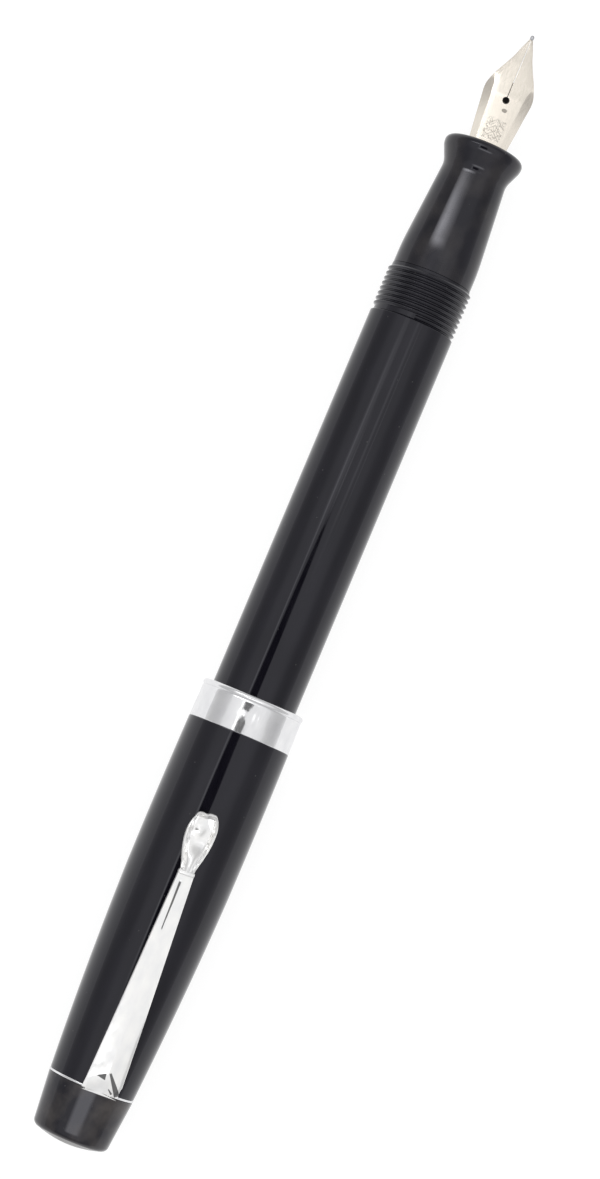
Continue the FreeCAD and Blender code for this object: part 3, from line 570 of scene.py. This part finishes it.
def nib_steel():
    """Polished nib steel, slightly warm, with fine draw lines, shallow engraved marks and a painted shade
    line along the slit.
    """
    material, tree, shader = new_material("Polished nib steel", Metallic=1.0, Roughness=0.2)
    lines = noise(tree, (1.0, 9.0, 9.0), detail=3.0)
    # cut holds the engraved marks and the painted shade line along the slit
    cut = nib_engraving_and_slit_shade(tree)
    plain = ramp(tree, lines, [(0.3, "#dbd4c9"), (0.7, "#e6dfd4")])
    inked_and_slit_shaded = blend_colours(tree, times(tree, cut, 0.6), plain, "#8d8880")
    tree.links.new(inked_and_slit_shaded, shader.inputs["Base Color"])
    tree.links.new(levels(tree, lines, 0.3, 0.7, 0.16, 0.24), shader.inputs["Roughness"])
    bump(tree, shader, less(tree, times(tree, lines, 0.2), cut), 0.012)
    haze(tree, shader, 0.5, 0.2)
    return material


def tipping_alloy():
    """Hard writing bead: ground grey metal."""
    material, tree, shader = new_material("Ground tipping alloy", Metallic=1.0, Roughness=0.3)
    grain = noise(tree, (12, 12, 12))
    tree.links.new(ramp(tree, grain, [(0.3, "#a8a8ab"), (0.7, "#c9c9cc")]),
                   shader.inputs["Base Color"])
    return material


def turned_metal(name, low, high, rough):
    """Bare turned metal with fine tool rings round the axis."""
    material, tree, shader = new_material(name, Metallic=1.0, Roughness=rough)
    rings = noise(tree, (10, 0.3, 0.3))
    tree.links.new(ramp(tree, rings, [(0.3, low), (0.7, high)]), shader.inputs["Base Color"])
    tree.links.new(levels(tree, rings, 0.3, 0.7, rough * 0.7, rough * 1.3),
                   shader.inputs["Roughness"])
    bump(tree, shader, rings, 0.006)
    return material


def cork():
    """Waxed cork: tan cells with dark pores."""
    material, tree, shader = new_material("Waxed cork", Roughness=0.6)
    cells = node(tree, "ShaderNodeTexVoronoi", [("Vector", place(tree))], Scale=2.2)
    tree.links.new(ramp(tree, cells.outputs["Distance"], [(0.1, "#6b4a2c"), (0.5, "#b58a5c")]),
                   shader.inputs["Base Color"])
    bump(tree, shader, cells.outputs["Distance"], 0.05)
    return material


RUBBER = black_hard_rubber()
WORN_RUBBER = black_hard_rubber("Handled hard rubber", wear_and_dome_highlight=0.2)
# the crown's rubber carries a painted highlight on its dome end besides its rubbed areas
CROWN_RUBBER = black_hard_rubber("Scuffed hard rubber with painted dome highlight", wear_and_dome_highlight=0.6)
EBONITE = ebonite()
CHROME = chrome_plate("Hazed chrome plate", ("#dfdfe1", "#e8e8e9"), 0.16)
# the clip's chrome carries painted shade: dark reflections painted on its root folds and near its waist
CLIP_CHROME = chrome_plate("Bright chrome plate", ("#eeeeee", "#f8f7f5"), 0.35, clip_painted_shade)
NIB_STEEL = nib_steel()
TIPPING = tipping_alloy()
BRASS = turned_metal("Turned brass", "#b08a45", "#d0aa62", 0.3)
PIN_STEEL = turned_metal("Drawn pin steel", "#8e8e92", "#b4b4b8", 0.35)
CORK = cork()


# ------------------------------------------------------------------ turned pieces

def make_crown():
    """Domed cap end, softly rounded at its edge, with the shank that runs into the cap."""
    first, last = span("crown")
    joint = span("clip_ring")[0]
    full = 5.9
    dome, shoulder = (first + 0.75, 4.5), (first + 1.45, 5.25)
    outline = [(first, 0.0)]
    extend(outline, ((first + 0.19, 2.25), dome, 14), ((first + 0.98, 4.97), shoulder, 9),
           ((joint - 0.1, full - 0.01), 12), ((joint - 0.02, full - 0.1), 1), ((joint, 3.6), 3),
           ((last, 3.6), 4), ((last, 0.0), 4))
    piece = lathe("crown_dome", outline)
    smooth(piece)
    return finish_piece(piece, CROWN_RUBBER, "cap", "black_hard_rubber", "crown")


def make_clip_ring():
    """Chrome washer whose rounded edge shows between the crown and the cap."""
    first, last = span("clip_ring")
    outer = radius("clip_ring")
    middle = (first + last) / 2
    outline = [(first, 3.6)]
    extend(outline, ((first, outer - 0.12), 3), ((middle, outer + 0.02), (last, outer - 0.12), 8),
           ((last, 3.6), 3), ((first, 3.6), 1))
    piece = lathe("clip_washer", outline, closed=True)
    smooth(piece)
    return finish_piece(piece, CHROME, "cap", "chrome_plate", "clip_ring")


def make_cap_tube():
    """Cigar-shaped cap shell with its inside: crown hole, seat, bore, thread and mouth."""
    first, last = span("cap_tube")
    band = span("cap_band")[0]
    mouth = span("cap_band")[1]
    belly = first + 28.65
    outline = [(first, 3.6)]
    extend(outline, ((first, 5.8), 2), ((first + 0.1, 5.9), 1),
           ((first + 13.94, 6.67), (belly, 7.135), 36),
           (((belly + band) / 2, 7.172), (band - 0.06, 7.09), 26), ((band, 7.03), 1),
           ((band, 6.5), 1), ((last, 6.5), 4), ((last, 5.97), 1), ((mouth - 6.5, 5.97), 4))
    for turn in range(8):
        start = mouth - 6.5 - PITCH * turn
        extend(outline, ((start - 0.04, 5.58), 1), ((start - 0.36, 5.92), 1),
               ((start - 0.68, 5.58), 1))
    extend(outline, ((mouth - 12.5, 5.65), 1), ((first + 23.05, 5.65), 6),
           ((first + 23.05, 5.3), 1), ((first + 4.45, 5.3), 6), ((first + 4.45, 3.6), 2), ((first, 3.6), 2))
    piece = lathe("cap_shell", outline, closed=True)
    smooth(piece)
    return finish_piece(piece, RUBBER, "cap", "black_hard_rubber", "cap_tube")


def make_cap_band():
    """Polished chrome band with a rounded bead at the cap's mouth."""
    first, last = span("cap_band")
    bead = last - 0.74
    outline = [(first, 6.5)]
    extend(outline, ((first, 7.02), 2), ((first + 0.08, 7.075), 1), ((first + 1.3, 7.065), 6),
           ((first + 2.1, 7.05), (first + 2.9, 7.02), 8),
           ((first + 3.3, 7.012), (bead - 0.1, 7.008), 6), ((bead, 6.96), 2),
           ((bead + 0.05, 7.02), 1), ((bead + 0.37, 7.1), (last - 0.08, 6.95), 8),
           ((last, 6.8), 3), ((last, 6.1), 4), ((last - 0.1, 6.02), 1), ((bead, 6.02), 2),
           ((bead, 6.5), 2), ((first, 6.5), 6))
    piece = lathe("mouth_band", outline, closed=True)
    smooth(piece)
    return finish_piece(piece, CHROME, "cap", "chrome_plate", "cap_band")


def make_section():
    """Tapered grip with its flared, rounded lip and the tenon behind it."""
    first, front = span("section")
    shoulder = span("barrel")[1]
    lip = front - 0.85
    outline = [(first, 2.2)]
    extend(outline, ((first, 4.5), 2), ((shoulder, 4.5), 4), ((shoulder, 5.42), 2),
           ((shoulder + 0.08, 5.5), 1),
           ((shoulder + 1.5, 5.5), 3), ((shoulder + 3.2, 5.46), (shoulder + 4.8, 5.35), 10),
           ((front - 4.35, 4.53), 30), ((front - 3.75, 4.555), (front - 3.1, 4.74), 10),
           ((lip - 1.0, 5.27), 6), ((lip - 0.42, 5.47), (lip, 5.52), 8),
           ((lip + 0.52, 5.36), (front, 4.85), 10), ((front, 3.2), 6), ((front - 0.25, 3.0), 2),
           ((first + 8, 3.0), 8), ((first + 8, 2.2), 1), ((first, 2.2), 2))
    piece = lathe("grip_section", outline, closed=True)
    smooth(piece)
    return finish_piece(piece, WORN_RUBBER, "barrel", "black_hard_rubber", "section")


# ------------------------------------------------------------------ barrel with its cap thread

def make_barrel():
    """Straight barrel whose front end carries the cap thread."""
    first, front = span("barrel")
    full, root = BARREL_RADIUS, 5.56
    lip = span("cap_band")[1]
    thread = front - 6.93
    outline = [(first, 4.2)]
    extend(outline, ((first, 5.1), 2), ((first + 0.1, 5.2), 1), ((first + 3.6, 5.48), 6),
           (((first + 3.6 + lip) / 2, full - 0.1), (lip, full), 14), ((thread - 0.05, full), 60),
           ((thread, full - 0.03), 1), ((thread + 0.2, root), 1), ((front, root), 20),
           ((front, 4.5), 3),
           ((front - 10.6, 4.5), 3), ((front - 10.6, 4.2), 1), ((first, 4.2), 20))
    piece = lathe("pen_barrel", outline, closed=True)
    smooth(piece, 25)
    ridge = thread_ridge(thread + 0.5, root - 0.06, full, 8.7)
    barrel = join("pen_barrel", [piece, ridge])
    return finish_piece(barrel, RUBBER, "barrel", "black_hard_rubber", "barrel")


def thread_ridge(start, root, crest, turns):
    """A V-shaped ridge wound right-handed round the pen's axis."""
    half = PITCH / 2
    ridge = chain("thread_ridge", [(start - half, 0, root), (start - half * 0.16, 0, crest - 0.02),
                                   (start, 0, crest), (start + half * 0.16, 0, crest - 0.02),
                                   (start + half, 0, root)])
    close_chain(ridge)
    apply_modifier(ridge, "SCREW", axis="X", angle=math.tau * turns, screw_offset=mm(PITCH * turns),
                   steps=int(72 * turns), render_steps=int(72 * turns), use_smooth_shade=True)
    fill_open_edges(ridge)
    weld(ridge)
    smooth(ridge, 40)
    return ridge


# ------------------------------------------------------------------ clip

def clip_blade(root, waist):
    """Flat tapered arm with a very shallow ridge along its middle and a hipped root."""
    half_root, half_waist = 2.58, 1.08
    sheet = 0.7
    rows = []
    for at in (0.0, 0.3, 1.0, 1.8, 2.6, 3.1, 5, 8, 12, 16, 20, 24, 28, waist - root):
        x = root + at
        share = at / (waist - root)
        half = half_root + (half_waist - half_root) * share
        side = 7.35 + (8.55 - 7.35) * share
        roof = 7.78 + (8.62 - 7.78) * share
        hip = 6.95 + 0.32 * at
        low = max(roof - sheet - 0.1, 6.05)
        upper = []
        for v in (-1, -0.94, -0.8, -0.6, -0.4, -0.2, -0.03, 0.03, 0.2, 0.4, 0.6, 0.8, 0.94, 1):
            ridge = roof + (side - roof) * abs(v) ** 1.2 * (1 - 0.75 * blend(2, 14, at))
            rounding = 0.08 if abs(v) == 1 else 0.0
            chamfer = 0.66 * max(1 - at / 1.5, 0) if v < 0 else 0.0
            upper.append((x, half * v + chamfer * abs(v), min(ridge, hip) - rounding))
        lower = [(x, half * v, low) for v in (0.96, 0, -0.96)]
        rows.append(upper + lower)
    return loft("clip_blade", rows, closed=True)


def tulip_half(share):
    """Half width of the tulip end at a share of its length."""
    return along_table([(0, 0.98), (0.05, 1.0), (0.17, 1.22), (0.30, 1.52), (0.45, 1.79),
                        (0.58, 1.94), (0.72, 2.0), (0.84, 1.95), (0.93, 1.8), (1.0, 1.6)], share)


def tulip_height(share, side, far):
    """Height of the tulip's upper face: beaded rim, groove inside it, half-round neck and a shallow
    swelling over the ball."""
    edge = min((1 - abs(side)) * tulip_half(share), (1 - share) * far)
    bead = 0.2 * math.sin(math.pi * min(edge / 0.42, 1.0)) if edge < 0.42 else 0.0
    groove = -0.2 * math.exp(-((edge - 0.5) / 0.14) ** 2)
    opening = blend(0.02, 0.2, share)
    neck = 0.5 * math.exp(-(side / 0.5) ** 2) * (1 - blend(0.2, 0.55, share))
    boss = math.hypot((share - 0.7) * far, side * tulip_half(share) - 0.2)
    swell = 0.3 * math.exp(-(boss / 0.8) ** 2)
    dish = -0.25 * blend(0.25, 0.5, share) * (1 - side * side)
    sag = 0.4 * blend(0.0, 0.55, share) - 0.3 * blend(0.7, 1.0, share)
    return (bead + groove) * opening + neck + swell + dish - sag


def clip_tulip(waist, end):
    """Tulip-shaped end with two blunt lobes and a small notch, the lower lobe a little longer."""
    far = end - waist
    sides = [math.sin(math.radians(90 * i / 18)) for i in range(-18, 19)]
    rows = []
    for step in range(45):
        share = math.sin(math.radians(90 * step / 44)) if step > 22 else step / 44 * 1.414
        upper, lower = [], []
        for side in sides:
            corner = 0.85 * max(abs(side) - 0.5, 0) ** 2.4 / 0.5 ** 2.4
            notch = 0.18 * (1 - blend(0.0, 0.3, abs(side)))
            reach = far - notch - corner - 0.18 * blend(-0.1, 0.25, side)
            y = side * tulip_half(share)
            z = 8.5 + tulip_height(share, side, far)
            upper.append((waist + reach * share, y, z))
            lower.append((waist + reach * share, y * 0.985, z - 0.5))
        rows.append(upper + lower[::-1])
    return loft("clip_tulip", rows, closed=True)


def rounded_block(name, low, high, width):
    """A block between two corners with rounded edges."""
    bpy.ops.object.select_all(action="DESELECT")
    bpy.ops.mesh.primitive_cube_add(size=1, location=[mm((a + b) / 2) for a, b in zip(low, high)],
                                    scale=[mm(b - a) for a, b in zip(low, high)])
    piece = bpy.context.object
    piece.name = piece.data.name = name
    bpy.ops.object.transform_apply(location=True, rotation=True, scale=True)
    soften(piece, width, segments=4)
    return piece


def clip_ball(x, z, size):
    """A small ball on the clip's middle line, for the runner and for the pit above it."""
    bpy.ops.object.select_all(action="DESELECT")
    bpy.ops.mesh.primitive_uv_sphere_add(segments=48, ring_count=24, radius=mm(size),
                                         location=(mm(x), 0, mm(z)))
    ball = bpy.context.object
    bpy.ops.object.transform_apply(location=True)
    return ball


def make_clip():
    """Sprung chrome clip, drawn straight above the axis, then skewed and rolled round the cap."""
    root, end = span("clip_arm")
    waist = end - 8.3
    pivot = root + 0.4
    blade = clip_blade(root, waist)
    collar = rounded_block("clip_collar", (waist - 0.4, -1.12, 7.75), (waist + 0.26, 1.12, 8.86),
                           0.22)
    tulip = clip_tulip(waist + 0.1, end)
    pit = clip_ball(waist + 5.6, 8.62, 0.17)
    stretch(pit, (1, 1, 1.5), (waist + 5.6, 0, 8.62))
    select_only(pit)
    bpy.ops.transform.translate(value=(0, mm(0.3), 0))
    bpy.ops.object.transform_apply(location=True)
    apply_modifier(tulip, "BOOLEAN", operation="DIFFERENCE", solver="EXACT", object=pit)
    bpy.data.objects.remove(pit)
    ball = clip_ball(end - 2.9, 7.72, 0.5)
    stretch(ball, (1.9, 1.9, 0.7), (end - 2.9, 0, 7.22))
    arm = join("spring_clip", [blade, collar, tulip, ball])
    smooth(arm, 30)
    swing(arm, CLIP_SKEW, "Z", (pivot, 0, 0))
    swing(arm, CLIP_ROLL, "X", (pivot, 0, 0))
    return finish_piece(arm, CLIP_CHROME, "clip", "chrome_plate", "clip_arm")


# ------------------------------------------------------------------ nib

def make_nib():
    """Facetted nib with a folded crown, a breather hole and a slit up to its point."""
    heel, tip = span("nib")
    lip = span("section")[1]
    hole = lip + 6.6
    half_table = [(heel, 2.6), (lip, 2.6), (lip + 1.5, 2.78), (lip + 3.6, 3.02), (lip + 5.6, 3.22),
                  (lip + 7.1, 3.4), (lip + 7.7, 3.42), (lip + 8.3, 3.34), (lip + 9.0, 3.1),
                  (lip + 9.9, 2.72),
                  (lip + 10.9, 2.22), (lip + 12.0, 1.68), (lip + 13.0, 1.24), (lip + 14.1, 0.88),
                  (tip - 0.55, 0.47), (tip, 0.27)]
    flat_table = [(heel, 1.78), (lip, 1.78), (lip + 6.5, 2.18), (lip + 8.3, 2.36),
                  (lip + 9.7, 2.8), (tip, 2.9)]
    crown_table = [(heel, 2.4), (lip, 2.4), (lip + 7.1, 2.28), (lip + 10.2, 2.0),
                   (lip + 12.0, 1.84), (tip - 2, 1.62), (tip, 1.42)]
    edge_table = [(heel, 1.2), (lip, 1.2), (lip + 7.1, 1.28), (lip + 8.6, 1.5), (lip + 9.7, 1.9),
                  (lip + 10.4, 1.93), (lip + 12.0, 1.79), (tip - 2, 1.57), (tip, 1.38)]
    stations = [heel, lip - 3] + [lip + (tip - lip) * i / 44 for i in range(45)]
    rows = []
    for x in stations:
        half, flat = along_table(half_table, x), along_table(flat_table, x)
        crown, edge = along_table(crown_table, x), along_table(edge_table, x)
        flat = min(flat, half - 0.05)
        shoulder = [(half, edge), ((half + flat) / 2, (edge + crown) / 2),
                    (flat + 0.03, crown - 0.025)]
        middle = [(flat - 0.06, crown), (flat * 0.66, crown + 0.03), (flat * 0.33, crown + 0.05),
                  (0.02, crown + 0.055)]
        half_row = shoulder + middle
        upper = [(x, -y, z) for y, z in half_row] + [(x, y, z) for y, z in reversed(half_row)]
        rows.append(upper + [(x, y * 0.94, z - 0.3) for x, y, z in reversed(upper)])
    nib = loft("nib_sheet", rows, closed=True)
    bpy.ops.object.select_all(action="DESELECT")
    bpy.ops.mesh.primitive_cylinder_add(vertices=48, radius=mm(0.485), depth=mm(6),
                                        location=(mm(hole), 0, mm(2)))
    drill = bpy.context.object
    bpy.ops.object.transform_apply(location=True)
    slit = rounded_block("slit_tool", (hole, -0.035, -1), (tip + 1, 0.035, 5), 0.001)
    for tool in (drill, slit):
        apply_modifier(nib, "BOOLEAN", operation="DIFFERENCE", solver="EXACT", object=tool)
        bpy.data.objects.remove(tool)
    smooth(nib, 22)
    return finish_piece(nib, NIB_STEEL, "barrel", "nib_steel", "nib")


def make_tipping():
    """Ground writing bead, squeezed slightly across the pen and in height."""
    first, last = span("nib_tipping")
    low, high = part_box("nib_tipping")
    outline = [(first - 0.15, 0.0)]
    extend(outline, ((first - 0.02, 0.2), (first + 0.15, 0.32), 6), ((first + 0.4, 0.33), 2),
           ((last - 0.1, 0.25), (last, 0.0), 8))
    bead = lathe("tipping_bead", outline)
    stretch(bead, (1, 0.85, 0.9))
    select_only(bead)
    bpy.ops.object.mode_set(mode="EDIT")
    bpy.ops.mesh.select_all(action="SELECT")
    bpy.ops.transform.translate(value=(0, 0, (low.z + high.z) / 2))
    bpy.ops.object.mode_set(mode="OBJECT")
    smooth(bead, 60)
    return finish_piece(bead, TIPPING, "barrel", "tipping_alloy", "nib_tipping")


make_clip()
make_nib()
make_tipping()
make_crown()
make_clip_ring()
make_cap_tube()
make_cap_band()
make_section()
make_barrel()


# ------------------------------------------------------------------ CAD pieces kept as they are

KEPT = {
    "inner_cap": EBONITE, "guide_bush": EBONITE, "piston_rod": EBONITE, "piston_core": EBONITE,
    "piston_nut": EBONITE, "spindle": BRASS, "retaining_nut": BRASS, "knob_pin": PIN_STEEL,
    "drive_peg": PIN_STEEL, "piston_seal": CORK, "feed": EBONITE, "knob": RUBBER,
}
for name, material in KEPT.items():
    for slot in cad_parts[name].material_slots:
        slot.material = material


# ------------------------------------------------------------------ floor, light and camera

def make_floor():
    """A matt white light table under the pen."""
    bpy.ops.object.select_all(action="DESELECT")
    bpy.ops.mesh.primitive_circle_add(vertices=96, radius=6, fill_type="NGON",
                                      location=(0, 0, cad_box[0].z))
    floor = bpy.context.object
    floor.name = "light_table"
    bpy.ops.object.transform_apply(location=True)
    material, _, shader = new_material("Matt white acrylic", Roughness=0.8, Emission_Strength=0.86)
    shader.inputs["Base Color"].default_value = linear("#808080")
    shader.inputs["Emission Color"].default_value = linear("#ffffff")
    floor.data.materials.append(material)


def glow(tree, source, middle, half, soft):
    """1 within half of a middle value, fading to 0 over soft."""
    away = maths(tree, "ABSOLUTE", less(tree, source, middle), 0)
    return levels(tree, away, half, half + soft, 1.0, 0.0)


def make_world():
    """Studio round the pen: a bright diffuser overhead, darker halfway down and brighter at the
    horizon, a dark slot in it above the pen, soft lamp strips and a lamp that lights the section.
    They were set to the main view's tone, so other sides only get plausible highlights."""
    world = bpy.data.worlds.new("Studio")
    bpy.context.scene.world = world
    world.use_nodes = True
    tree = world.node_tree
    background = tree.nodes["Background"]
    direction = node(tree, "ShaderNodeTexCoord").outputs["Generated"]
    parts = node(tree, "ShaderNodeSeparateXYZ", [("Vector", direction)])
    up = maths(tree, "MAXIMUM", parts.outputs["Z"], 0.02)
    dome = node(tree, "ShaderNodeFloatCurve", [("Value", up)])
    curve = dome.mapping.curves[0]
    for height, light in ((0.08, 0.72), (0.2, 0.6), (0.34, 0.57), (0.56, 0.64), (0.8, 0.98)):
        curve.points.new(height, light)
    curve.points[0].location = (0.0, 0.86)
    curve.points[-1].location = (1.0, 1.0)
    dome.mapping.update()
    along = maths(tree, "DIVIDE", parts.outputs["X"], up)
    across = maths(tree, "DIVIDE", parts.outputs["Y"], up)
    # the slot is an ellipse towards the nib: reach along the pen, half its width across it
    reach, widest, middle = 0.0908, 0.19, 0.094
    share = maths(tree, "MINIMUM", maths(tree, "MAXIMUM", along, 0.0), reach)
    share = maths(tree, "DIVIDE", share, reach)
    half = maths(tree, "SQRT", less(tree, 1.0, times(tree, share, share)), 0)
    half = times(tree, half, widest)
    away = maths(tree, "ABSOLUTE", less(tree, across, middle), 0)
    slot = times(tree, levels(tree, less(tree, half, away), -0.004, 0.012, 0.0, 0.98),
                 levels(tree, along, -0.16, -0.1, 0.0, 1.0))
    # strips: middle, half width and soft edge across the pen, the same along it, then strength
    strips = ((0.32, 0.014, 0.03, 0.0, 0.1, 0.06, 1.1),
              (0.1, 0.008, 0.03, 0.102, 0.004, 0.014, 1.2),
              (0.28, 0.08, 0.09, 0.125, 0.022, 0.02, 0.55),
              (-0.28, 0.03, 0.04, 0.125, 0.022, 0.02, 0.5),
              (-0.485, 0.006, 0.014, 0.135, 0.02, 0.02, 0.7),
              (0.0, 0.3, 0.3, 0.24, 0.04, 0.05, 0.28),
              (-0.02, 0.25, 0.2, -0.285, 0.03, 0.1, 2.2))
    lamp = times(tree, levels(tree, parts.outputs["X"], 0.25, 0.33, 0.0, 8.5),
                 levels(tree, parts.outputs["X"], 0.33, 0.35, 1.0, 0.0))
    extra = times(tree, lamp, glow(tree, across, 0.56, 0.1, 0.52))
    for side, side_half, side_soft, ahead, ahead_half, ahead_soft, strength in strips:
        strip = times(tree, glow(tree, across, side, side_half, side_soft),
                      glow(tree, along, ahead, ahead_half, ahead_soft))
        extra = plus(tree, times(tree, strip, strength), extra)
    light = times(tree, plus(tree, dome.outputs["Value"], extra), less(tree, 1.0, slot))
    tree.links.new(light, background.inputs["Strength"])
    background.inputs["Color"].default_value = (0.995, 0.995, 1.0, 1.0)


def make_camera():
    """Camera above the pen, turned so that the nib points up to the right."""
    low = cad_box[0].x
    stands_over, looks_at, height = 46.49, 78.95, 477
    eye = Vector((low + mm(stands_over), 0, mm(height)))
    target = Vector((low + mm(looks_at), 0, 0))
    ahead = (target - eye).normalized()
    along = (Vector((1, 0, 0)) - ahead * ahead.x).normalized()
    side = ahead.cross(along)
    roll = math.radians(22.84)
    up = along * math.cos(roll) - side * math.sin(roll)
    right = ahead.cross(up)
    camera = bpy.data.objects.new("Camera", bpy.data.cameras.new("Camera"))
    bpy.context.scene.collection.objects.link(camera)
    facing = Matrix((right, up, -ahead)).transposed().to_4x4()
    camera.matrix_world = Matrix.Translation(eye) @ facing
    camera.data.sensor_width = 36
    camera.data.lens = 110.13
    camera.data.clip_start = 0.01
    bpy.context.scene.camera = camera


make_floor()
make_world()
make_camera()
bpy.context.scene.view_settings.view_transform = "Standard"
